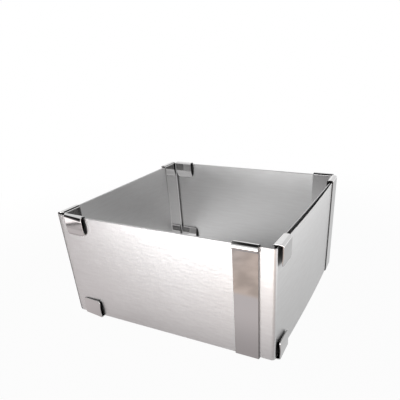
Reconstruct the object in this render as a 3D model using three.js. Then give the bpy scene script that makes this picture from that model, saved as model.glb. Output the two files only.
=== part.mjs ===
// Adjustable square mousse ring: four L-bent steel sheets that slide past one another.
// Each sheet has an outer leg on one face of the ring and an inner leg inside the face before it.
// A folded strap on the free end of each leg hooks over both sheets, at the top and at the bottom.
// Millimetres, +Z up. The origin is at the middle of the plan, on the plane that the ring rests on.
import * as THREE from 'three';

// Ring, as it stands closed
const ringWidth = 160;
const ringDepth = 153;

// Sheets
const sheetHeight = 79.4;
const sheetThickness = 0.6;
const bendRadius = 2.5;
const bendSteps = 10;
const bowSteps = 8;
const seamGap = 0.3;
const looseGap = 0.5;
const sprungGap = 2.1;

// The right face is sprung: its outer leg bulges, the inner leg behind it bows less, and the face's
// far end stands in
const rightBulge = 1.4;
const rightInnerBow = 0.7;
const rightStandIn = 0.4;

// The left face stands out at the front corner
const leftStandOut = 2.3;

// Straps
const strapWidth = 16.5;
const strapThickness = 0.7;
const hookSpare = 0.5;
const hookRise = 0.7;
const pressedRise = 0.3;
const flapReach = 13;
const flapCorner = 2.6;
const tipClearance = 0.3;
const foldClearance = 0.4;
const tightRoom = 0.2;
const openTipRoom = 1.1;
const wideRoom = 2.3;
const archSteps = 9;
const flapSteps = 5;
const cornerSteps = 4;
const flapStraightShare = 0.45;
const trimStartShare = 0.45;
const trimEndShare = 0.8;

// The band on the front face ends in a round roll that stands proud of its plate. On the twisted hook the
// fold is rounded down into the flap.
const rollOpening = 2.3;
const rollBulge = 1.2;
const rollShoulder = 2;
const rollLead = 1.6;
const leadSteps = 4;
const flapShoulder = 2;
const tightShoulder = 0.7;

// How far each outer leg stops short of the face that it points at
const frontLap = 10.2;
const rightLap = 3.2;
const backLap = 3.7;
const leftLap = 1.5;

// Extra room at the free end of the inner leg on the right face
const rightEndPlay = 1.2;

// Two sheets and the widest gap between them go inside a hook
const hookOpening = 2 * sheetThickness + sprungGap + hookSpare;

// A hook: its fold at the leg's end and its fold over the leg, and the rise of its lower fold
const looseHook = evenHook(looseGap, hookOpening, 0);
const sprungHook = evenHook(sprungGap, hookOpening, 0);
const rolledHook = evenHook(looseGap, rollOpening, rollBulge);

// On the slanting left face the sheets need the whole opening as they slide
const straightFold = foldEdge(hookOpening, hookOpening);
const straightHook = { end: straightFold, over: straightFold, lowerRise: hookRise };

// The hook beside the front left corner is twisted: tight at the corner and open at its other edge
const tightOpening = 2 * sheetThickness + looseGap + tightRoom;
const openTip = 2 * sheetThickness + looseGap + openTipRoom;
const twistedHook = {
  end: foldEdge(tightOpening, tightOpening, 0, tightShoulder),
  over: foldEdge(hookOpening, openTip, 0, flapShoulder),
  lowerRise: pressedRise,
};

// The hook beside the front right corner gapes at the corner, and everywhere clears the bulging leg
const bulgeOpening = 2 * sheetThickness + sprungGap + rightBulge;
const gapingHook = {
  end: foldEdge(2 * sheetThickness + sprungGap + wideRoom, bulgeOpening + tipClearance),
  over: foldEdge(bulgeOpening, bulgeOpening),
  lowerRise: hookRise,
};

// The folds' lowest facets lie on the resting plane and carry the sheets' lower edges
const sheetBottom = hookRise * Math.cos(Math.PI / 2 / archSteps) + strapThickness;
const sheetTop = sheetBottom + sheetHeight;

// The faces in order, counterclockwise from above. Each starts at the corner where its outer leg is bent.
// Its inner hook is on the free end of the leg inside it.
const faces = [
  {
    name: 'front', length: ringWidth, corner: [-1, -1], quarterTurns: 0, lap: frontLap, gap: looseGap,
    play: 0, standOut: 0, outerBow: 0, innerBow: 0, outerHook: rolledHook, innerHook: twistedHook,
  },
  {
    name: 'right', length: ringDepth, corner: [1, -1], quarterTurns: 1, lap: rightLap, gap: sprungGap,
    play: rightEndPlay, standOut: -rightStandIn, outerBow: rightBulge + rightStandIn / 2,
    innerBow: rightInnerBow, outerHook: sprungHook, innerHook: gapingHook,
  },
  {
    name: 'back', length: ringWidth, corner: [1, 1], quarterTurns: 2, lap: backLap, gap: looseGap,
    play: 0, standOut: 0, outerBow: 0, innerBow: 0, outerHook: looseHook, innerHook: looseHook,
  },
  {
    name: 'left', length: ringDepth, corner: [-1, 1], quarterTurns: 3, lap: leftLap, gap: looseGap,
    play: 0, standOut: leftStandOut, outerBow: 0, innerBow: 0,
    outerHook: straightHook, innerHook: straightHook,
  },
];

// One edge of a fold: its opening, the opening at the flap's tip, how far the plate bulges away from the
// sheet below the fold, and how far below the sheets' edge the flap is still round
function foldEdge(fold, tip, bulge = 0, shoulder = 0) {
  return { fold, tip, bulge, shoulder };
}

// A hook that is alike along its whole width, its flaps easing in over the sheets
function evenHook(gap, fold, bulge) {
  const edge = foldEdge(fold, 2 * sheetThickness + Math.max(gap, seamGap) + tipClearance, bulge);
  return { end: edge, over: edge, lowerRise: hookRise };
}

// A point in plan: so far along a face from its first corner, and so far outward from its outer plane
function facePoint(face, along, outward) {
  const angle = face.quarterTurns * Math.PI / 2;
  const direction = new THREE.Vector2(Math.cos(angle), Math.sin(angle));
  const normal = outwardOf(direction);
  const start = new THREE.Vector2(face.corner[0] * ringWidth / 2, face.corner[1] * ringDepth / 2);
  return start.addScaledVector(direction, along).addScaledVector(normal, outward);
}

// The outward side of a direction that runs counterclockwise round the ring
function outwardOf(direction) {
  return new THREE.Vector2(direction.y, -direction.x);
}

// Depth from a face's outer plane to the inside of its inner strap
function stackDepth(face) {
  return 2 * sheetThickness + face.gap + strapThickness;
}

// Distance from a face's first corner to the free end of the inner leg on it.
// The end clears the next sheet's bend, and the fold of the strap before it where that strap is flush.
function innerLegInset(face, previous) {
  const bendInset = sheetThickness + seamGap + bendRadius + tipClearance;
  const foldInset = hookOpening + strapThickness + foldClearance;
  const meetsFold = previous.lap < stackDepth(face) + foldClearance;
  return (meetsFold ? Math.max(bendInset, foldInset) : bendInset) + face.play;
}

// Points from a free end towards a bend, bowed outward. The stretch under the strap is straight.
function legPoints(end, corner, normal, bow) {
  if (bow === 0) {
    return [end, corner];
  }
  const run = corner.distanceTo(end);
  const shares = [0];
  for (let i = 0; i <= bowSteps; i += 1) {
    shares.push(THREE.MathUtils.lerp(strapWidth / run, 1, i / bowSteps));
  }
  return shares.map((share) => {
    const bowHere = 4 * bow * share * (1 - share);
    return end.clone().lerp(corner, share).addScaledVector(normal, bowHere);
  });
}

// The plan of one sheet's outer surface: inner leg's end, bend, outer leg's end
function sheetRoute(face, previous, beforePrevious) {
  const inset = innerLegInset(previous, beforePrevious);
  const innerEnd = facePoint(previous, inset, -(sheetThickness + previous.gap));
  const corner = facePoint(previous, previous.length, previous.standOut - sheetThickness - seamGap);
  const outerEnd = facePoint(face, face.length - face.lap, face.standOut);
  const normalOf = (a, b) => outwardOf(b.clone().sub(a).normalize());
  const inner = legPoints(innerEnd, corner, normalOf(innerEnd, corner), previous.innerBow);
  const outer = legPoints(outerEnd, corner, normalOf(corner, outerEnd), face.outerBow).reverse();
  const direction = (points, i) => points[i + 1].clone().sub(points[i]).normalize();
  const intoBend = direction(inner, inner.length - 2);
  const outOfBend = direction(outer, 0);
  const turn = intoBend.angleTo(outOfBend);
  const tangent = bendRadius * Math.tan(turn / 2);
  const bendStart = corner.clone().addScaledVector(intoBend, -tangent);
  const centre = bendStart.clone().addScaledVector(outwardOf(intoBend), -bendRadius);
  const stations = legStations(inner, direction).slice(0, -1);
  for (let i = 0; i <= bendSteps; i += 1) {
    const normal = outwardOf(intoBend).rotateAround(new THREE.Vector2(), turn * i / bendSteps);
    stations.push({ point: centre.clone().addScaledVector(normal, bendRadius), normal });
  }
  stations.push(...legStations(outer, direction).slice(1));
  const first = direction(inner, 0);
  const second = direction(outer, outer.length - 2);
  return { stations, innerEnd, outerEnd, first, second };
}

// Each point of a leg with its outward normal, halfway between its two stretches
function legStations(points, direction) {
  return points.map((point, i) => {
    const before = direction(points, Math.max(i - 1, 0));
    const after = direction(points, Math.min(i, points.length - 2));
    return { point, normal: outwardOf(before.add(after).normalize()) };
  });
}

// One closed body from rings of four corners: sides between neighbours and a flat cap at each end
function loft(name, rings, material) {
  const positions = [];
  const addTriangle = (a, b, c) => positions.push(...a.toArray(), ...b.toArray(), ...c.toArray());
  const addQuad = (a, b, c, d) => {
    addTriangle(a, b, c);
    addTriangle(a, c, d);
  };
  for (let i = 0; i + 1 < rings.length; i += 1) {
    for (let j = 0; j < 4; j += 1) {
      const k = (j + 1) % 4;
      addQuad(rings[i][j], rings[i][k], rings[i + 1][k], rings[i + 1][j]);
    }
  }
  const last = rings[rings.length - 1];
  addQuad(rings[0][3], rings[0][2], rings[0][1], rings[0][0]);
  addQuad(last[0], last[1], last[2], last[3]);
  const geometry = new THREE.BufferGeometry();
  geometry.setAttribute('position', new THREE.Float32BufferAttribute(positions, 3));
  geometry.computeVertexNormals();
  const mesh = new THREE.Mesh(geometry, material);
  mesh.name = name;
  return mesh;
}

function sheetSteel() {
  return new THREE.MeshStandardMaterial({ color: 0xd2cfcc, roughness: 0.34, metalness: 1 });
}

function strapSteel() {
  return new THREE.MeshStandardMaterial({ color: 0xdad8d4, roughness: 0.12, metalness: 1 });
}

function makeSheet(name, route) {
  const rings = route.stations.map(({ point, normal }) => {
    const inner = point.clone().addScaledVector(normal, -sheetThickness);
    return [
      new THREE.Vector3(point.x, point.y, sheetBottom),
      new THREE.Vector3(inner.x, inner.y, sheetBottom),
      new THREE.Vector3(inner.x, inner.y, sheetTop),
      new THREE.Vector3(point.x, point.y, sheetTop),
    ];
  });
  return loft(name, rings, sheetSteel());
}

// Half of a strap's path along one edge, on its side towards the sheets: fold and flap.
// Each station gives the distance from the strap's plate and the height above the sheets' edge, with the
// trim of the fold beside the corner (0 to 1) and how far the rounded corners draw in both edges.
function foldProfile(edge, rise) {
  const { fold, tip, bulge, shoulder } = edge;
  const plateDrop = bulge > 0 ? rollShoulder : 0;
  const straight = shoulder + flapReach * flapStraightShare;
  const stations = [];
  for (let i = 0; bulge > 0 && i < leadSteps; i += 1) {
    const share = i / leadSteps;
    const away = -bulge * THREE.MathUtils.smoothstep(share, 0, 1);
    stations.push({ away, height: -plateDrop - rollLead * (1 - share), trim: 0, drawIn: 0 });
  }
  for (let i = 0; i <= archSteps; i += 1) {
    const share = i / archSteps;
    const angle = Math.PI * (1 - share);
    const drop = share < 0.5 ? plateDrop : shoulder;
    stations.push({
      away: (fold - bulge) / 2 + (fold + bulge) / 2 * Math.cos(angle),
      height: (rise + drop) * Math.sin(angle) - drop,
      trim: THREE.MathUtils.clamp((share - trimStartShare) / (trimEndShare - trimStartShare), 0, 1),
      drawIn: 0,
    });
  }
  const addFlapStation = (drop, drawIn) => {
    const closing = THREE.MathUtils.smoothstep(drop, straight, flapReach);
    stations.push({ away: THREE.MathUtils.lerp(fold, tip, closing), height: -drop, trim: 1, drawIn });
  };
  for (let i = 0; i < flapSteps; i += 1) {
    addFlapStation(THREE.MathUtils.lerp(straight, flapReach - flapCorner, i / flapSteps), 0);
  }
  for (let i = 0; i <= cornerSteps; i += 1) {
    const angle = Math.PI / 2 * i / cornerSteps;
    addFlapStation(flapReach - flapCorner * (1 - Math.sin(angle)), flapCorner * (1 - Math.cos(angle)));
  }
  return stations;
}

// The whole path of a strap along one edge: lower flap, plate, upper flap. The lower fold is flat.
function strapPath(edge, lowerRise) {
  const lower = foldProfile({ ...edge, bulge: 0, shoulder: 0 }, lowerRise);
  const upper = foldProfile(edge, hookRise);
  return [
    ...lower.map((station) => ({ ...station, z: sheetBottom - station.height })).reverse(),
    ...upper.map((station) => ({ ...station, z: sheetTop + station.height })),
  ];
}

// A strap: plate on the sheet, both ends folded over the sheets' edges and down as flaps.
// The origin is on the sheet at the leg's end, along points from the end back over the leg, and across
// points from the plate through the sheets.
function makeStrap(name, origin, along, across, hook, trimWidth) {
  const endPath = strapPath(hook.end, hook.lowerRise);
  const overPath = strapPath(hook.over, hook.lowerRise);
  const place = (distance, away, z) => {
    const plan = origin.clone().addScaledVector(along, distance).addScaledVector(across, away);
    return new THREE.Vector3(plan.x, plan.y, z);
  };
  const rings = endPath.map((station, i) => {
    const near = station.trim * trimWidth + station.drawIn;
    const far = strapWidth - station.drawIn;
    const edgePoints = (distance) => {
      const share = distance / strapWidth;
      const inside = new THREE.Vector2(endPath[i].away, endPath[i].z);
      inside.lerp(new THREE.Vector2(overPath[i].away, overPath[i].z), share);
      const outside = mitre(endPath, i).lerp(mitre(overPath, i), share).add(inside);
      return [place(distance, inside.x, inside.y), place(distance, outside.x, outside.y)];
    };
    const [nearInside, nearOutside] = edgePoints(near);
    const [farInside, farOutside] = edgePoints(far);
    return [nearInside, farInside, farOutside, nearOutside];
  });
  return loft(name, rings, strapSteel());
}

// The step from the strap's sheet side to its far side at one station, mitred between its two segments
function mitre(path, i) {
  const segment = (a, b) => new THREE.Vector2(b.away - a.away, b.z - a.z).normalize();
  const before = i > 0 ? segment(path[i - 1], path[i]) : segment(path[i], path[i + 1]);
  const after = i + 1 < path.length ? segment(path[i], path[i + 1]) : before;
  const normalBefore = new THREE.Vector2(-before.y, before.x);
  const normalAfter = new THREE.Vector2(-after.y, after.x);
  const sum = normalBefore.add(normalAfter);
  return sum.multiplyScalar(2 * strapThickness / sum.lengthSq());
}

const ring = new THREE.Group();
faces.forEach((face, i) => {
  const previous = faces[(i + 3) % 4];
  const beforePrevious = faces[(i + 2) % 4];
  const next = faces[(i + 1) % 4];
  const route = sheetRoute(face, previous, beforePrevious);
  ring.add(makeSheet(`${face.name}_sheet`, route));

  const cornerStack = stackDepth(next) + foldClearance;
  const trimWidth = Math.max(0, cornerStack - face.lap);
  const backAlong = route.second.clone().negate();
  const inwardFromFace = outwardOf(route.second).negate();
  const outerName = `${face.name}_outer_strap`;
  ring.add(makeStrap(outerName, route.outerEnd, backAlong, inwardFromFace, face.outerHook, trimWidth));

  const outwardFromLeg = outwardOf(route.first);
  const innerFace = route.innerEnd.clone().addScaledVector(outwardFromLeg, -sheetThickness);
  const innerName = `${face.name}_inner_strap`;
  ring.add(makeStrap(innerName, innerFace, route.first, outwardFromLeg, previous.innerHook, 0));
});

// The flaps stand out unevenly, so the middle of the plan is measured
const middle = new THREE.Box3().setFromObject(ring).getCenter(new THREE.Vector3());
ring.position.set(-middle.x, -middle.y, 0);

export default ring;
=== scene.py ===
import math

import bpy
from mathutils import Matrix, Vector


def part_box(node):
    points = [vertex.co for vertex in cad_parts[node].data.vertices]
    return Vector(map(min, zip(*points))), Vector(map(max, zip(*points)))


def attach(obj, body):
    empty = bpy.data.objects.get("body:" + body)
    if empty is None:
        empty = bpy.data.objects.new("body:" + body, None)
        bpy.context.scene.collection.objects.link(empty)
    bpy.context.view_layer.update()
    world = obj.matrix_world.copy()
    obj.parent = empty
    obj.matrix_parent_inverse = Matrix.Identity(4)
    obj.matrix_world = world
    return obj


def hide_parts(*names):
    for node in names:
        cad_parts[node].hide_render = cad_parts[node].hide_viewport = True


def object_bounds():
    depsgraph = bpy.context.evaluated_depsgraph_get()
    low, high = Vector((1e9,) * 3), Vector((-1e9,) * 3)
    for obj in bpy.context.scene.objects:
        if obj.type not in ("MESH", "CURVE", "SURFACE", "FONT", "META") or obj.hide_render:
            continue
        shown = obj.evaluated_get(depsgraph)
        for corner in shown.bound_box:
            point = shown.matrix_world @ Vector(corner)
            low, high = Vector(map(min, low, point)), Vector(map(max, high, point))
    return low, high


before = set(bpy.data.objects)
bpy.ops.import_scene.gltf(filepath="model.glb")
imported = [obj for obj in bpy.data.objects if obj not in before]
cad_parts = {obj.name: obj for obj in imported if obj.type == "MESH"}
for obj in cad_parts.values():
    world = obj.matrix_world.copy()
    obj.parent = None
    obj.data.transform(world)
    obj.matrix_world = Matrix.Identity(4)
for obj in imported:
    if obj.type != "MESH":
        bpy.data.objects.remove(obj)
cad_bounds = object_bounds()

# The ring and its sheet metal, in metres
RING_WIDTH = 0.160
FRONT_LAP = 0.0102
SHEET_THICKNESS = 0.0006
STRAP_THICKNESS = 0.0007
STRAP_WIDTH = 0.0165
BEND_RADIUS = 0.0025
SEAM_GAP = 0.0003
LOOSE_GAP = 0.0005
SPRUNG_GAP = 0.0021

# The sprung right face: its outer leg bulges, the inner leg bows less, and its far end stands in
RIGHT_BULGE = 0.0014
RIGHT_INNER_BOW = 0.0007
RIGHT_STAND_IN = 0.0004

# The left face stands out at the front corner
LEFT_STAND_OUT = 0.0023

# Folds of the straps. An opening goes from plate to flap, and a fold's inside rises over the sheets' edge.
HOOK_OPENING = 0.0038
HOOK_RISE = 0.0007
PRESSED_RISE = 0.0003
FLAP_REACH = 0.013
FLAP_CORNER = 0.0026
FLAP_STRAIGHT_SHARE = 0.45
TIP_CLEARANCE = 0.0003

# The front band's upper fold is a round roll, proud of its plate
ROLL_OPENING = 0.0023
ROLL_BULGE = 0.0012
ROLL_SHOULDER = 0.0020
ROLL_LEAD = 0.0016

# Room in the twisted and the gaping hook, and the twisted hook's rounded shoulders
TIGHT_ROOM = 0.0002
OPEN_TIP_ROOM = 0.0011
WIDE_ROOM = 0.0023
FLAP_SHOULDER = 0.0020
TIGHT_SHOULDER = 0.0007

# Flaps are trimmed clear of the next face. The trim runs between these shares of the way round a fold.
FOLD_CLEARANCE = 0.0004
TRIM_START_SHARE = 0.45
TRIM_END_SHARE = 0.8

# Broken edges, and how far from a sheet's free end its edge is over
SHEET_EDGE = 0.00012
STRAP_EDGE = 0.00016
SHEET_END_INSET = 4 * SHEET_EDGE

# How finely the meshes are divided, and where their shading breaks
BOW_STEPS = 24
BEND_STEPS = 16
EDGE_STEPS = 3
LEAD_STEPS = 6
ARCH_STEPS = 24
FLAP_STEPS = 14
CORNER_STEPS = 8
PLATE_ROWS = 12
SHARP_DEGREES = 50
NORMAL_WEIGHT = 80
UV_LAYER = "metal"

# Outer planes of the ring and the sheets' edges, measured on the frame
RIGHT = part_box("front_sheet")[1][0] + FRONT_LAP
LEFT = RIGHT - RING_WIDTH
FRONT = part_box("front_sheet")[0][1]
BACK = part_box("back_sheet")[1][1]
SHEET_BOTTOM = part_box("front_sheet")[0][2]
SHEET_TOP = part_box("front_sheet")[1][2]
DEPTH = BACK - FRONT


def fold_edge(fold, tip, bulge=0, shoulder=0):
    """Shape of a fold at one long edge of a strap.

    It is the opening, the opening at the flap's tip, how far the plate bulges at the fold, and how far past
    the sheets' edge the flap is still rounded.
    """
    return dict(fold=fold, tip=tip, bulge=bulge, shoulder=shoulder)


def strap_hook(end, over, lower_rise=HOOK_RISE):
    """The folds of a strap, from its long edge at the sheet's end to its long edge over the leg.

    The lower fold has a rise of its own.
    """
    return dict(end=end, over=over, lower_rise=lower_rise)


def even_hook(gap, fold=HOOK_OPENING, bulge=0):
    """Folds that are alike along the strap's whole width."""
    edge = fold_edge(fold, 2 * SHEET_THICKNESS + max(gap, SEAM_GAP) + TIP_CLEARANCE, bulge)
    return strap_hook(edge, edge)


LOOSE_HOOK = even_hook(LOOSE_GAP)
SPRUNG_HOOK = even_hook(SPRUNG_GAP)
ROLLED_HOOK = even_hook(LOOSE_GAP, ROLL_OPENING, ROLL_BULGE)

# Flaps that stay parallel, for the slanting left face
STRAIGHT_EDGE = fold_edge(HOOK_OPENING, HOOK_OPENING)
STRAIGHT_HOOK = strap_hook(STRAIGHT_EDGE, STRAIGHT_EDGE)

# Twisted: tight at the front left corner, open at its other edge
TIGHT_OPENING = 2 * SHEET_THICKNESS + LOOSE_GAP + TIGHT_ROOM
OPEN_TIP = 2 * SHEET_THICKNESS + LOOSE_GAP + OPEN_TIP_ROOM
TWISTED_HOOK = strap_hook(fold_edge(TIGHT_OPENING, TIGHT_OPENING, shoulder=TIGHT_SHOULDER),
                          fold_edge(HOOK_OPENING, OPEN_TIP, shoulder=FLAP_SHOULDER),
                          PRESSED_RISE)

# Gaping at the front right corner, and clear of the bulging leg
WIDE_OPENING = 2 * SHEET_THICKNESS + SPRUNG_GAP + WIDE_ROOM
BULGE_OPENING = 2 * SHEET_THICKNESS + SPRUNG_GAP + RIGHT_BULGE
GAPING_HOOK = strap_hook(fold_edge(WIDE_OPENING, BULGE_OPENING + TIP_CLEARANCE),
                         fold_edge(BULGE_OPENING, BULGE_OPENING))


def end_gap(node, axis, end, plane):
    """How far the free end of a sheet's leg stops short of a plane."""
    return abs(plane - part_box(node)[end][axis])


# Faces, counterclockwise from above. Each starts at the corner where its own sheet is bent. The lap goes from
# the outer leg's end to the face's last corner, and the inset from the first corner to the inner leg's end.
FACES = [
    dict(name="front", start=(LEFT, FRONT), turn=0, length=RING_WIDTH, gap=LOOSE_GAP,
         lap=FRONT_LAP, inset=end_gap("right_sheet", 0, 0, LEFT),
         stand_out=0, outer_bow=0, inner_bow=0, outer_hook=ROLLED_HOOK, inner_hook=TWISTED_HOOK),
    dict(name="right", start=(RIGHT, FRONT), turn=1, length=DEPTH, gap=SPRUNG_GAP,
         lap=end_gap("right_sheet", 1, 1, BACK), inset=end_gap("back_sheet", 1, 0, FRONT),
         stand_out=-RIGHT_STAND_IN, outer_bow=RIGHT_BULGE + RIGHT_STAND_IN / 2, inner_bow=RIGHT_INNER_BOW,
         outer_hook=SPRUNG_HOOK, inner_hook=GAPING_HOOK),
    dict(name="back", start=(RIGHT, BACK), turn=2, length=RING_WIDTH, gap=LOOSE_GAP,
         lap=end_gap("back_sheet", 0, 0, LEFT), inset=end_gap("left_sheet", 0, 1, RIGHT),
         stand_out=0, outer_bow=0, inner_bow=0, outer_hook=LOOSE_HOOK, inner_hook=LOOSE_HOOK),
    dict(name="left", start=(LEFT, BACK), turn=3, length=DEPTH, gap=LOOSE_GAP,
         lap=end_gap("left_sheet", 1, 0, FRONT), inset=end_gap("front_sheet", 1, 1, BACK),
         stand_out=LEFT_STAND_OUT, outer_bow=0, inner_bow=0, outer_hook=STRAIGHT_HOOK,
         inner_hook=STRAIGHT_HOOK),
]


def neighbour(face, corners):
    """The face that many corners further on, counterclockwise."""
    return FACES[(face["turn"] + corners) % len(FACES)]


def outward(direction):
    """The outer side of a direction that runs counterclockwise round the ring."""
    return Vector((direction.y, -direction.x))


def face_point(face, along, out):
    """Point on a face's outer plane, some way along it from its first corner and some way out."""
    direction = Vector((1, 0))
    direction.rotate(Matrix.Rotation(face["turn"] * math.pi / 2, 2))
    return Vector(face["start"]) + direction * along + outward(direction) * out


def leg_points(end, corner, normal, bow):
    """Points from a leg's free end to its bend, bowed outward. The stretch under the strap is straight."""
    if not bow:
        return [end, corner]
    under_strap = STRAP_WIDTH / (corner - end).length
    shares = [0] + [under_strap + (1 - under_strap) * i / BOW_STEPS for i in range(BOW_STEPS + 1)]
    return [end.lerp(corner, share) + normal * (4 * bow * share * (1 - share)) for share in shares]


def leg_normals(points):
    """Outward normals of a leg, halfway between its neighbouring stretches."""
    normals = []
    for i in range(len(points)):
        before = points[max(i, 1)] - points[max(i, 1) - 1]
        after = points[min(i, len(points) - 2) + 1] - points[min(i, len(points) - 2)]
        normals.append(outward((before.normalized() + after.normalized()).normalized()))
    return normals


def sheet_route(face):
    """Plan of a sheet's outer surface, as its inner leg and its outer leg, both up to the bend's corner."""
    previous = neighbour(face, -1)
    inner_end = face_point(previous, previous["inset"], -(SHEET_THICKNESS + previous["gap"]))
    corner = face_point(previous, previous["length"], previous["stand_out"] - SHEET_THICKNESS - SEAM_GAP)
    outer_end = face_point(face, face["length"] - face["lap"], face["stand_out"])
    inner_normal = outward((corner - inner_end).normalized())
    outer_normal = outward((outer_end - corner).normalized())
    inner = leg_points(inner_end, corner, inner_normal, previous["inner_bow"])
    outer = list(reversed(leg_points(outer_end, corner, outer_normal, face["outer_bow"])))
    return inner, outer


def loft(name, rings, coordinates):
    """A closed mesh through rings of points. coordinates holds one (u, v) for each point."""
    count = len(rings[0])
    vertices = [point for ring in rings for point in ring]
    uv_of = [pair for ring in coordinates for pair in ring]
    faces = []
    for i in range(len(rings) - 1):
        for j in range(count):
            k = (j + 1) % count
            faces.append((i * count + j, i * count + k, (i + 1) * count + k, (i + 1) * count + j))
    last = (len(rings) - 1) * count
    faces.append(tuple(reversed(range(count))))
    faces.append(tuple(range(last, last + count)))
    mesh = bpy.data.meshes.new(name)
    mesh.from_pydata([tuple(v) for v in vertices], [], faces)
    layer = mesh.uv_layers.new(name=UV_LAYER)
    for loop in mesh.loops:
        layer.data[loop.index].uv = uv_of[loop.vertex_index]
    mesh.shade_smooth()
    mesh.set_sharp_from_angle(angle=math.radians(SHARP_DEGREES))
    piece = bpy.data.objects.new(name, mesh)
    bpy.context.scene.collection.objects.link(piece)
    weighted = piece.modifiers.new("weighted_normals", "WEIGHTED_NORMAL")
    weighted.keep_sharp = True
    weighted.weight = NORMAL_WEIGHT
    return piece


def rounded_section(low, high, depth, edge):
    """Corner-rounded rectangle as (across, share of the thickness), from low to high across."""
    points = []
    corners = [(low, 0, 1, 1, math.pi), (high, 0, -1, 1, 1.5 * math.pi),
               (high, 1, -1, -1, 0), (low, 1, 1, -1, 0.5 * math.pi)]
    for across, level, sign_a, sign_t, first_angle in corners:
        centre_a = across + sign_a * edge
        centre_t = level + sign_t * edge / depth
        for i in range(EDGE_STEPS + 1):
            angle = first_angle + math.pi / 2 * i / EDGE_STEPS
            points.append((centre_a + edge * math.cos(angle), centre_t + edge / depth * math.sin(angle)))
    return points


def make_sheet(face):
    """An L-bent sheet, from its inner leg's free end round the bend to its outer leg's free end."""
    inner, outer = sheet_route(face)
    into_bend = (inner[-1] - inner[-2]).normalized()
    out_of_bend = (outer[1] - outer[0]).normalized()
    turn = into_bend.angle(out_of_bend)
    bend_start = inner[-1] - into_bend * BEND_RADIUS * math.tan(turn / 2)
    centre = bend_start - outward(into_bend) * BEND_RADIUS
    stations = list(zip(inner, leg_normals(inner)))[:-1]
    stations.insert(1, (inner[0] + (inner[1] - inner[0]).normalized() * SHEET_END_INSET, stations[0][1]))
    for i in range(BEND_STEPS + 1):
        normal = outward(into_bend)
        normal.rotate(Matrix.Rotation(turn * i / BEND_STEPS, 2))
        stations.append((centre + normal * BEND_RADIUS, normal))
    stations += list(zip(outer, leg_normals(outer)))[1:]
    stations.insert(-1, (outer[-1] + (outer[-2] - outer[-1]).normalized() * SHEET_END_INSET, stations[-1][1]))
    section = rounded_section(SHEET_BOTTOM, SHEET_TOP, SHEET_THICKNESS, SHEET_EDGE)
    rings = []
    coordinates = []
    travelled = 0
    before = stations[0][0]
    for point, normal in stations:
        travelled += (point - before).length
        before = point
        ring = []
        for height, depth_share in section:
            plan = point - normal * SHEET_THICKNESS * depth_share
            ring.append(Vector((plan.x, plan.y, height)))
        rings.append(ring)
        coordinates.append([(travelled, height) for height, _ in section])
    return loft(f"{face['name']}_sheet_look", rings, coordinates)


def eased(share):
    """A share from 0 to 1 that starts and ends level."""
    held = min(max(share, 0), 1)
    return held * held * (3 - 2 * held)


def fold_profile(edge, rise, pressed):
    """Half of a strap's path along one edge, from its plate over the arch and down the flap.

    Each station is (away from the plate, height over the sheets' edge, trim share, draw-in).
    A pressed fold has no bulge and no shoulder.
    """
    fold, tip = edge["fold"], edge["tip"]
    bulge = 0 if pressed else edge["bulge"]
    shoulder = 0 if pressed else edge["shoulder"]
    drop_before = ROLL_SHOULDER if bulge else 0
    straight = shoulder + FLAP_REACH * FLAP_STRAIGHT_SHARE
    stations = []
    if bulge:
        for i in range(LEAD_STEPS):
            share = i / LEAD_STEPS
            stations.append((-bulge * eased(share), -drop_before - ROLL_LEAD * (1 - share), 0, 0))
    middle, half = (fold - bulge) / 2, (fold + bulge) / 2
    for i in range(ARCH_STEPS + 1):
        share = i / ARCH_STEPS
        angle = math.pi * (1 - share)
        drop = drop_before if share < 0.5 else shoulder
        trim = min(max((share - TRIM_START_SHARE) / (TRIM_END_SHARE - TRIM_START_SHARE), 0), 1)
        stations.append((middle + half * math.cos(angle), (rise + drop) * math.sin(angle) - drop, trim, 0))

    def add_flap(drop, draw_in):
        closing = eased((drop - straight) / (FLAP_REACH - straight))
        stations.append((fold + (tip - fold) * closing, -drop, 1, draw_in))

    for i in range(1, FLAP_STEPS):
        add_flap(shoulder + (FLAP_REACH - FLAP_CORNER - shoulder) * i / FLAP_STEPS, 0)
    for i in range(CORNER_STEPS + 1):
        angle = math.pi / 2 * i / CORNER_STEPS
        add_flap(FLAP_REACH - FLAP_CORNER * (1 - math.sin(angle)), FLAP_CORNER * (1 - math.cos(angle)))
    return stations


def strap_path(edge, lower_rise):
    """A strap's whole path along one edge, on its sheet side: lower flap, plate, upper flap."""
    below = [(away, SHEET_BOTTOM - height, trim, draw)
             for away, height, trim, draw in reversed(fold_profile(edge, lower_rise, True))]
    above = [(away, SHEET_TOP + height, trim, draw)
             for away, height, trim, draw in fold_profile(edge, HOOK_RISE, False)]
    start, end = below[-1][1], above[0][1]
    plate = [(0, start + (end - start) * i / PLATE_ROWS, 0, 0) for i in range(1, PLATE_ROWS)]
    return below + plate + above


def mitred_offsets(path, thickness):
    """For each point of a 2-D path, the step to its left side, mitred between neighbours."""
    offsets = []
    for i, _ in enumerate(path):
        before = (path[i] - path[i - 1]).normalized() if i > 0 else (path[1] - path[0]).normalized()
        after = (path[i + 1] - path[i]).normalized() if i + 1 < len(path) else before
        total = Vector((-before.y, before.x)) + Vector((-after.y, after.x))
        offsets.append(total * (2 * thickness / total.length_squared))
    return offsets


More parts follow.
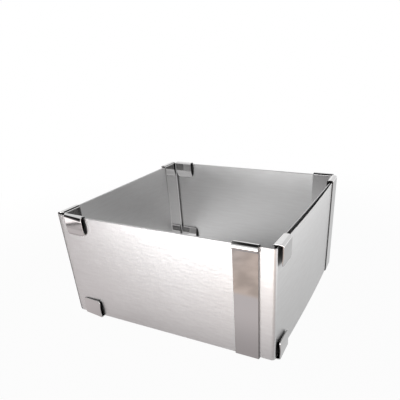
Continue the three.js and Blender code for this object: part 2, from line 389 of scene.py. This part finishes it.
def make_strap(name, origin, along, across, hook, trim_width):
    """A folded strap, from the sheet's free end along the leg, with its folds reaching across the sheets.

    Its path differs from one long edge to the other where the hook is twisted or gapes.
    """
    end_stations = strap_path(hook["end"], hook["lower_rise"])
    over_stations = strap_path(hook["over"], hook["lower_rise"])
    end_path = [Vector(station[:2]) for station in end_stations]
    over_path = [Vector(station[:2]) for station in over_stations]
    end_offsets = mitred_offsets(end_path, STRAP_THICKNESS)
    over_offsets = mitred_offsets(over_path, STRAP_THICKNESS)
    rings = []
    coordinates = []
    travelled = 0
    for i, (_, _, trim, draw) in enumerate(end_stations):
        if i:
            travelled += (end_path[i] - end_path[i - 1]).length
        section = rounded_section(trim * trim_width + draw, STRAP_WIDTH - draw, STRAP_THICKNESS, STRAP_EDGE)
        ring = []
        for distance, depth_share in section:
            share = distance / STRAP_WIDTH
            inside = end_path[i].lerp(over_path[i], share)
            here = inside + end_offsets[i].lerp(over_offsets[i], share) * depth_share
            plan = origin + along * distance + across * here.x
            ring.append(Vector((plan.x, plan.y, here.y)))
        rings.append(ring)
        coordinates.append([(distance, travelled) for distance, _ in section])
    return loft(name, rings, coordinates)


def stack_depth(face):
    """Thickness of a face where a strap covers both its legs."""
    return 2 * SHEET_THICKNESS + face["gap"] + STRAP_THICKNESS


# Brushed sheet. Noise scales are along and across the grain, in cycles per metre, and depths are in metres.
SHEET_DARK = (0.645, 0.64, 0.64, 1)
SHEET_LIGHT = (0.68, 0.68, 0.68, 1)
SHEET_ROUGH_LOW = 0.29
SHEET_ROUGH_HIGH = 0.39
SHEET_ANISOTROPY = 0.8
SHEET_GRAIN_TURN = 0.25
STREAK_SCALE = (60, 520, 1)
STREAK_DETAIL = 4
STREAK_LOW = 0.3
STREAK_HIGH = 0.7
GRAIN_SCALE = (110, 1600, 1)
GRAIN_DETAIL = 6
GRAIN_BUMP = 0.4
GRAIN_DEPTH = 0.00002
DENT_SCALE = (160, 480, 1)
DENT_DETAIL = 4
DENT_BUMP = 1
DENT_DEPTH = 0.00012

# Polished strip of the folded straps
STRAP_COLOUR = (0.61, 0.605, 0.605, 1)
STRAP_ROUGH_LOW = 0.03
STRAP_ROUGH_HIGH = 0.09
ROLLED_SCALE = (160, 40, 1)
ROLLED_DETAIL = 3
ROLLED_BUMP = 0.3
ROLLED_DEPTH = 0.00005

# Painted shade on the long edges of the straps at the outer legs' ends: the share of their colour left there
EDGE_SHADE_SHARE = 0.12

# Deep in the hooks hardly any light is left: painted shade turns the colour black where little of the
# surroundings shows, by these shares
CREVICE_REACH = 0.0035
CREVICE_DARK = 0.12
CREVICE_OPEN = 0.42
CREVICE_FADE = 0.004

BLACK = (0, 0, 0, 1)
WHITE = (1, 1, 1, 1)


def feed(tree, value, socket):
    """Give a socket its value: another node's output, a number or a colour."""
    if isinstance(value, bpy.types.NodeSocket):
        tree.links.new(value, socket)
    else:
        socket.default_value = value


def map_range(tree, value, start, end, low, high, smooth=True):
    """A value that goes from low at the start to high at the end, and stays level beyond them."""
    node = tree.nodes.new("ShaderNodeMapRange")
    node.interpolation_type = "SMOOTHSTEP" if smooth else "LINEAR"
    node.inputs["From Min"].default_value = start
    node.inputs["From Max"].default_value = end
    node.inputs["To Min"].default_value = low
    node.inputs["To Max"].default_value = high
    tree.links.new(value, node.inputs["Value"])
    return node.outputs["Result"]


def combine(tree, operation, *values):
    """Maths on two or more values from left to right, each a socket or a number."""
    result = values[0]
    for value in values[1:]:
        node = tree.nodes.new("ShaderNodeMath")
        node.operation = operation
        feed(tree, result, node.inputs[0])
        feed(tree, value, node.inputs[1])
        result = node.outputs["Value"]
    return result


def mix(tree, data_type, share, first, second):
    """Mix of two at the given share of the second."""
    node = tree.nodes.new("ShaderNodeMix")
    node.data_type = data_type
    for name, value in (("Factor", share), ("A", first), ("B", second)):
        feed(tree, value, node.inputs[name])
    return node.outputs["Result"]


def mix_values(tree, share, first, second):
    return mix(tree, "FLOAT", share, first, second)


def mix_colours(tree, share, first, second):
    return mix(tree, "RGBA", share, first, second)


def mix_shaders(tree, share, first, second):
    node = tree.nodes.new("ShaderNodeMixShader")
    for socket, value in zip(node.inputs, (share, first, second)):
        tree.links.new(value, socket)
    return node.outputs["Shader"]


def split_xyz(tree, vector):
    """The three parts of a vector."""
    node = tree.nodes.new("ShaderNodeSeparateXYZ")
    tree.links.new(vector, node.inputs["Vector"])
    return node.outputs["X"], node.outputs["Y"], node.outputs["Z"]


def world_place(tree):
    """Where the shaded point lies in the scene."""
    return tree.nodes.new("ShaderNodeNewGeometry").outputs["Position"]


def metal_noise(tree, place, scale, detail):
    """Noise stretched along the metal's own length and height."""
    stretch = tree.nodes.new("ShaderNodeMapping")
    stretch.inputs["Scale"].default_value = scale
    tree.links.new(place, stretch.inputs["Vector"])
    noise = tree.nodes.new("ShaderNodeTexNoise")
    noise.inputs["Scale"].default_value = 1
    noise.inputs["Detail"].default_value = detail
    tree.links.new(stretch.outputs["Vector"], noise.inputs["Vector"])
    return noise.outputs["Fac"]


def metal(name):
    """A metal material. Gives it, its tree, its shader and the place on the unrolled piece."""
    material = bpy.data.materials.new(name)
    material.use_nodes = True
    tree = material.node_tree
    shader = tree.nodes["Principled BSDF"]
    shader.inputs["Metallic"].default_value = 1
    place = tree.nodes.new("ShaderNodeUVMap")
    place.uv_map = UV_LAYER
    return material, tree, shader, place.outputs["UV"]


def paint_crevice_shade(tree, colour):
    """The colour on open metal, with painted shade that turns it black deep inside the hooks at the top and
    at the bottom.
    """
    occlusion = tree.nodes.new("ShaderNodeAmbientOcclusion")
    occlusion.inputs["Distance"].default_value = CREVICE_REACH
    light = map_range(tree, occlusion.outputs["AO"], CREVICE_DARK, CREVICE_OPEN, 0, 1)
    _, _, height = split_xyz(tree, world_place(tree))
    low_end, high_end = SHEET_BOTTOM + FLAP_REACH, SHEET_TOP - FLAP_REACH
    above_low = map_range(tree, height, low_end, low_end + CREVICE_FADE, 0, 1)
    below_high = map_range(tree, height, high_end - CREVICE_FADE, high_end, 1, 0)
    between = combine(tree, "MULTIPLY", above_low, below_high)
    return mix_colours(tree, combine(tree, "MAXIMUM", between, light), BLACK, colour)


def add_relief(tree, shader, *layers):
    """Bumps on top of one another, each a height, a strength and a depth."""
    before = None
    for height, strength, depth in layers:
        bump = tree.nodes.new("ShaderNodeBump")
        bump.inputs["Strength"].default_value = strength
        bump.inputs["Distance"].default_value = depth
        tree.links.new(height, bump.inputs["Height"])
        if before:
            tree.links.new(before, bump.inputs["Normal"])
        before = bump.outputs["Normal"]
    tree.links.new(before, shader.inputs["Normal"])


def brushed_steel():
    """Sheet with streaks of two greys, a fine grain and soft dents."""
    material, tree, shader, place = metal("brushed_sheet_steel")
    shader.inputs["Anisotropic"].default_value = SHEET_ANISOTROPY
    shader.inputs["Anisotropic Rotation"].default_value = SHEET_GRAIN_TURN
    tangent = tree.nodes.new("ShaderNodeTangent")
    tangent.direction_type = "UV_MAP"
    tangent.uv_map = UV_LAYER
    tree.links.new(tangent.outputs["Tangent"], shader.inputs["Tangent"])
    streaks = metal_noise(tree, place, STREAK_SCALE, STREAK_DETAIL)
    lightness = map_range(tree, streaks, STREAK_LOW, STREAK_HIGH, 0, 1, smooth=False)
    colour = mix_colours(tree, lightness, SHEET_DARK, SHEET_LIGHT)
    # The streaked colour gets painted shade, black deep inside the hooks
    tree.links.new(paint_crevice_shade(tree, colour), shader.inputs["Base Color"])
    grain = metal_noise(tree, place, GRAIN_SCALE, GRAIN_DETAIL)
    roughness = map_range(tree, grain, 0, 1, SHEET_ROUGH_LOW, SHEET_ROUGH_HIGH, smooth=False)
    tree.links.new(roughness, shader.inputs["Roughness"])
    dents = metal_noise(tree, place, DENT_SCALE, DENT_DETAIL)
    add_relief(tree, shader, (dents, DENT_BUMP, DENT_DEPTH), (grain, GRAIN_BUMP, GRAIN_DEPTH))
    return material


def polished_steel(name, painted_edge_shade):
    """Polished strip with faint rolling marks. When asked for, its long edges get painted shade and turn
    dark.
    """
    material, tree, shader, place = metal(name)
    colour = STRAP_COLOUR
    if painted_edge_shade:
        across, _, _ = split_xyz(tree, place)
        to_far_edge = combine(tree, "SUBTRACT", STRAP_WIDTH, across)
        to_edge = combine(tree, "MINIMUM", across, to_far_edge)
        unshaded_share = map_range(tree, to_edge, 0, STRAP_EDGE, EDGE_SHADE_SHARE, 1)
        colour = mix_colours(tree, unshaded_share, BLACK, STRAP_COLOUR)
    # The strap's colour gets painted shade, black deep inside the hooks
    tree.links.new(paint_crevice_shade(tree, colour), shader.inputs["Base Color"])
    rolled = metal_noise(tree, place, ROLLED_SCALE, ROLLED_DETAIL)
    roughness = map_range(tree, rolled, 0, 1, STRAP_ROUGH_LOW, STRAP_ROUGH_HIGH, smooth=False)
    tree.links.new(roughness, shader.inputs["Roughness"])
    add_relief(tree, shader, (rolled, ROLLED_BUMP, ROLLED_DEPTH))
    return material


sheet_material = brushed_steel()
inner_strap_material = polished_steel("polished_strap_steel", painted_edge_shade=False)
# The outer straps get painted shade on their long edges
outer_strap_material = polished_steel("edge_shaded_strap_steel", painted_edge_shade=True)

# The four panels, each a sheet with a strap outside its outer leg and one inside its inner leg
for face in FACES:
    name = face["name"]
    body = f"{name}_panel"
    inner, outer = sheet_route(face)

    sheet = make_sheet(face)
    sheet.data.materials.append(sheet_material)
    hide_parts(f"{name}_sheet")
    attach(sheet, body)

    to_end = (outer[-1] - outer[-2]).normalized()
    trim_width = max(0, stack_depth(neighbour(face, 1)) + FOLD_CLEARANCE - face["lap"])
    outer_strap = make_strap(f"{name}_outer_strap_look", outer[-1], -to_end, -outward(to_end),
                             face["outer_hook"], trim_width)
    from_end = (inner[1] - inner[0]).normalized()
    inside = inner[0] - outward(from_end) * SHEET_THICKNESS
    inner_strap = make_strap(f"{name}_inner_strap_look", inside, from_end, outward(from_end),
                             neighbour(face, -1)["inner_hook"], 0)
    for strap, node, material in ((outer_strap, "outer_strap", outer_strap_material),
                                  (inner_strap, "inner_strap", inner_strap_material)):
        strap.data.materials.append(material)
        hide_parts(f"{name}_{node}")
        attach(strap, body)


# Stage
FLOOR_RADIUS = 3.0
FLOOR_SIDES = 64
FLOOR_DROP = 0.0001
FLOOR_GREY = (0.5, 0.5, 0.5, 1)
FLOOR_ROUGHNESS = 0.7
FLOOR_SPECULAR = 0.1
FADE_START = 0.16
FADE_END = 0.42
FADE_LOW = 0.96

# What the metal sees of the floor in front of the ring, as levels of brightness, shares of them and tints: a
# painted reflection.
# Near the ring it is a grey zone, with painted shade close in, patchy and warm further out, with a dark edge.
NEAR_ZONE_RADIUS = 0.308
NEAR_ZONE_EDGE_WIDTH = 0.005
NEAR_ZONE_LEVEL = 0.70
NEAR_ZONE_EDGE_SHARE = 0.35
CONTACT_SHARE = 0.66
CONTACT_REACH = 0.05
CONTACT_START = -0.10
CONTACT_FULL = -0.02
PATCHY_NEAR = 0.067
PATCHY_FAR = 0.074
MOTTLE_SCALE = 45
MOTTLE_LOW = 0.35
MOTTLE_HIGH = 0.65
MOTTLE_LIGHT = 1.0
MOTTLE_DARK = 0.72
FRONT_TINT = (1.06, 0.985, 0.985, 1)
WARM_TINT = (1.17, 0.985, 0.88, 1)
WARM_START = -0.05
WARM_FULL = 0.02

# Beyond it the painted reflection is a bright white zone, which darkens again further off on the left
FAR_ZONE_LEVEL = 1.7
FAR_DARK_START = 0.350
FAR_DARK_END = 0.375
FAR_DARK_SHARE = 0.1
FAR_LEFT_START = -0.35
FAR_LEFT_END = -0.2

# What it sees of the floor inside the ring, with painted shade that darkens it towards the back, and beside
# the ring on the right, with painted shade near the ring
INSIDE_FRONT_LEVEL = 1.03
INSIDE_BACK_LEVEL = 0.3
INSIDE_START = -0.03
INSIDE_END = 0.09
BESIDE_NEAR_LEVEL = 0.69
BESIDE_FAR_LEVEL = 1.6
BESIDE_START = 0.14
BESIDE_END = 0.22

# What it sees of the room, by parts of a unit direction and by bearing from the front in radians. The room is
# dark, but for a bright horizon in front, a pale wall behind, a patch high on the left and a bright strip
# behind the viewer.
DARK_LEVEL = 0.02
HORIZON_LEVEL = 1.2
HORIZON_START = 0.3
HORIZON_END = 0.75
HORIZON_LEFT_START = -0.85
HORIZON_LEFT_END = -0.45
BEHIND_LEVEL = 1.0
BEHIND_START = -0.1
BEHIND_FULL = 0.3
BEHIND_TOP_START = 0.48
BEHIND_TOP_END = 0.62
PATCH_LEVEL = 1.0
PATCH_START = -0.38
PATCH_FULL = -0.44
PATCH_LOW_START = 0.45
PATCH_LOW_END = 0.58
VIEWER_LEVEL = 1.5
VIEWER_START = -0.17
VIEWER_FULL = 0.0
VIEWER_END = 0.7

LAMPS = {
    "softbox": dict(place=(-0.55, 1.05, 0.65), aim=(0, 0, 0.04), width=0.9, height=0.9, power=0.5),
    "low_window": dict(place=(-0.26, -0.86, 0.09), aim=(0, 0, 0.09), width=0.55, height=0.18, power=1.2),
    "bounce_card": dict(place=(-0.05, -0.62, 0.002), aim=(-0.05, -0.62, 1), width=0.6, height=0.6, power=7.3),
}


def front_floor(tree, place, distance):
    """Level and tint of the painted reflection of the floor in front of the ring: the grey near zone or the
    white far zone, whichever is brighter.
    """
    across, along, _ = split_xyz(tree, place)
    # Painted shade close in front of the ring, deeper towards the right
    darker = map_range(tree, across, CONTACT_START, CONTACT_FULL, NEAR_ZONE_LEVEL, NEAR_ZONE_LEVEL * CONTACT_SHARE)
    close_in = map_range(tree, along, FRONT - CONTACT_REACH, FRONT, 0, 1)
    contact = mix_values(tree, close_in, NEAR_ZONE_LEVEL, darker)
    patchy = map_range(tree, along, FRONT - PATCHY_FAR, FRONT - PATCHY_NEAR, 1, 0)
    mottle = tree.nodes.new("ShaderNodeTexNoise")
    mottle.inputs["Scale"].default_value = MOTTLE_SCALE
    tree.links.new(place, mottle.inputs["Vector"])
    patches = map_range(tree, mottle.outputs["Fac"], MOTTLE_LOW, MOTTLE_HIGH, MOTTLE_LIGHT, MOTTLE_DARK)
    edge = map_range(tree, distance, NEAR_ZONE_RADIUS - NEAR_ZONE_EDGE_WIDTH, NEAR_ZONE_RADIUS, 1, NEAR_ZONE_EDGE_SHARE)
    near_zone = combine(tree, "MULTIPLY", contact, mix_values(tree, patchy, 1, patches), edge)

    far_zone_start = NEAR_ZONE_RADIUS + NEAR_ZONE_EDGE_WIDTH
    white = map_range(tree, distance, far_zone_start, far_zone_start + NEAR_ZONE_EDGE_WIDTH, 0, FAR_ZONE_LEVEL)
    darkening = map_range(tree, distance, FAR_DARK_START, FAR_DARK_END, 1, FAR_DARK_SHARE)
    to_left = map_range(tree, across, FAR_LEFT_START, FAR_LEFT_END, 1, 0)
    far_zone = combine(tree, "MULTIPLY", white, mix_values(tree, to_left, 1, darkening))

    warm_side = map_range(tree, across, WARM_START, WARM_FULL, 0, 1)
    tint = mix_colours(tree, combine(tree, "MULTIPLY", patchy, warm_side), FRONT_TINT, WARM_TINT)
    return combine(tree, "MAXIMUM", near_zone, far_zone), tint


def other_floor(tree, place):
    """Level of the painted reflection of the floor behind the plane of the ring's front: inside the ring, or
    beside it on the right, both with painted shade near the walls.
    """
    across, along, _ = split_xyz(tree, place)
    diagonal = combine(tree, "ADD", across, along)
    inside = map_range(tree, diagonal, INSIDE_START, INSIDE_END, INSIDE_FRONT_LEVEL, INSIDE_BACK_LEVEL)
    beside = map_range(tree, across, BESIDE_START, BESIDE_END, BESIDE_NEAR_LEVEL, BESIDE_FAR_LEVEL)
    return mix_values(tree, combine(tree, "GREATER_THAN", across, RIGHT), inside, beside)


def painted_floor_reflection(tree, place, distance):
    """Painted reflection: the floor as the metal mirrors it, a glow of set levels and tints that only glossy
    rays see.
    """
    _, along, _ = split_xyz(tree, place)
    behind_front = combine(tree, "GREATER_THAN", along, FRONT)
    front_level, front_tint = front_floor(tree, place, distance)
    level = mix_values(tree, behind_front, front_level, other_floor(tree, place))
    tint = mix_colours(tree, behind_front, front_tint, WHITE)
    mirrored = tree.nodes.new("ShaderNodeEmission")
    tree.links.new(level, mirrored.inputs["Strength"])
    tree.links.new(tint, mirrored.inputs["Color"])
    return mirrored.outputs["Emission"]


def floor_material():
    """Pale floor that fades to the white background far off. The metal mirrors it in levels of its own, a
    painted reflection.
    """
    material = bpy.data.materials.new("floor_white")
    material.use_nodes = True
    tree = material.node_tree
    lit = tree.nodes["Principled BSDF"]
    lit.inputs["Base Color"].default_value = FLOOR_GREY
    lit.inputs["Roughness"].default_value = FLOOR_ROUGHNESS
    lit.inputs["Specular IOR Level"].default_value = FLOOR_SPECULAR
    white = tree.nodes.new("ShaderNodeEmission")
    white.inputs["Color"].default_value = WHITE
    place = world_place(tree)
    length = tree.nodes.new("ShaderNodeVectorMath")
    length.operation = "LENGTH"
    tree.links.new(place, length.inputs[0])
    distance = length.outputs["Value"]
    fade = map_range(tree, distance, FADE_START, FADE_END, FADE_LOW, 1)
    seen = mix_shaders(tree, fade, lit.outputs["BSDF"], white.outputs["Emission"])
    mirrored = painted_floor_reflection(tree, place, distance)
    path = tree.nodes.new("ShaderNodeLightPath")
    # Glossy rays see the painted reflection instead of the lit floor
    unseen = mix_shaders(tree, path.outputs["Is Glossy Ray"], lit.outputs["BSDF"], mirrored)
    surface = mix_shaders(tree, path.outputs["Is Camera Ray"], unseen, seen)
    tree.links.new(surface, tree.nodes["Material Output"].inputs["Surface"])
    return material


def make_floor():
    """A large round floor just below the ring."""
    angles = [math.tau * i / FLOOR_SIDES for i in range(FLOOR_SIDES)]
    rim = [(FLOOR_RADIUS * math.cos(angle), FLOOR_RADIUS * math.sin(angle), 0) for angle in angles]
    mesh = bpy.data.meshes.new("floor")
    mesh.from_pydata(rim, [], [tuple(range(FLOOR_SIDES))])
    mesh.materials.append(floor_material())
    floor = bpy.data.objects.new("floor", mesh)
    bpy.context.scene.collection.objects.link(floor)
    floor.location.z = cad_bounds[0][2] - FLOOR_DROP


def room_brightness(tree):
    """How bright the room is in each direction."""
    direction = tree.nodes.new("ShaderNodeTexCoord").outputs["Generated"]
    across, along, height = split_xyz(tree, direction)
    bearing = combine(tree, "ARCTAN2", across, combine(tree, "MULTIPLY", along, -1))
    horizon = map_range(tree, height, HORIZON_START, HORIZON_END, HORIZON_LEVEL, 0)
    not_far_left = map_range(tree, bearing, HORIZON_LEFT_START, HORIZON_LEFT_END, 0, 1)
    in_front = combine(tree, "LESS_THAN", along, 0)
    behind = map_range(tree, along, BEHIND_START, BEHIND_FULL, 0, BEHIND_LEVEL)
    below_top = map_range(tree, height, BEHIND_TOP_START, BEHIND_TOP_END, 1, 0)
    patch = map_range(tree, across, PATCH_FULL, PATCH_START, PATCH_LEVEL, DARK_LEVEL)
    high_up = map_range(tree, height, PATCH_LOW_START, PATCH_LOW_END, 0, 1)
    viewer = map_range(tree, bearing, VIEWER_START, VIEWER_FULL, 0, VIEWER_LEVEL)
    before_end = combine(tree, "LESS_THAN", bearing, VIEWER_END)
    return combine(tree, "MAXIMUM", DARK_LEVEL,
                   combine(tree, "MULTIPLY", horizon, not_far_left, in_front),
                   combine(tree, "MULTIPLY", behind, below_top),
                   combine(tree, "MULTIPLY", patch, high_up),
                   combine(tree, "MULTIPLY", viewer, before_end))


def make_world():
    """White to the camera. Everything else sees the room."""
    world = bpy.data.worlds.new("studio")
    bpy.context.scene.world = world
    world.use_nodes = True
    tree = world.node_tree
    room = tree.nodes["Background"]
    room.inputs["Color"].default_value = WHITE
    tree.links.new(room_brightness(tree), room.inputs["Strength"])
    white = tree.nodes.new("ShaderNodeBackground")
    white.inputs["Color"].default_value = WHITE
    is_camera = tree.nodes.new("ShaderNodeLightPath").outputs["Is Camera Ray"]
    shown = mix_shaders(tree, is_camera, room.outputs["Background"], white.outputs["Background"])
    tree.links.new(shown, tree.nodes["World Output"].inputs["Surface"])


def area_lamp(name, place, aim, width, height, power):
    """A lamp that shines from its place towards its aim, and that the camera doesn't see."""
    data = bpy.data.lights.new(name, "AREA")
    data.shape = "RECTANGLE"
    data.size = width
    data.size_y = height
    data.energy = power
    lamp = bpy.data.objects.new(name, data)
    bpy.context.scene.collection.objects.link(lamp)
    lamp.location = place
    lamp.rotation_euler = (Vector(aim) - Vector(place)).to_track_quat("-Z", "Y").to_euler()
    lamp.visible_camera = False


# Camera, as the photograph was taken: angles in degrees, its place from the middle of the ring's foot in
# metres, and its sensor in millimetres
CAMERA_HEADING = 26.572
CAMERA_PITCH = -28.812
CAMERA_ROLL = -2.449
CAMERA_PLACE = (0.1463, -0.2691, 0.1783)
FOCAL_PIXELS = 410.27
CENTRE_PIXEL = (228, 272)
PICTURE_PIXELS = 400
SENSOR_WIDTH = 36


def make_camera():
    """The photograph's camera. Its shift puts the optical centre on the photograph's own."""
    data = bpy.data.cameras.new("photograph")
    camera = bpy.data.objects.new("photograph", data)
    bpy.context.scene.collection.objects.link(camera)
    data.sensor_width = SENSOR_WIDTH
    data.lens = FOCAL_PIXELS * SENSOR_WIDTH / PICTURE_PIXELS
    data.shift_x = (PICTURE_PIXELS / 2 - CENTRE_PIXEL[0]) / PICTURE_PIXELS
    data.shift_y = (CENTRE_PIXEL[1] - PICTURE_PIXELS / 2) / PICTURE_PIXELS
    data.dof.use_dof = False
    ring_centre = Vector(((LEFT + RIGHT) / 2, (FRONT + BACK) / 2, SHEET_BOTTOM))
    heading = Matrix.Rotation(math.radians(CAMERA_HEADING), 4, "Z")
    pitch = Matrix.Rotation(math.radians(90 + CAMERA_PITCH), 4, "X")
    roll = Matrix.Rotation(math.radians(CAMERA_ROLL), 4, "Z")
    camera.matrix_world = Matrix.Translation(Vector(CAMERA_PLACE) + ring_centre) @ heading @ pitch @ roll
    bpy.context.scene.camera = camera


make_floor()
make_world()
for lamp_name, settings in LAMPS.items():
    area_lamp(lamp_name, **settings)
make_camera()

bpy.context.scene.view_settings.view_transform = "Standard"
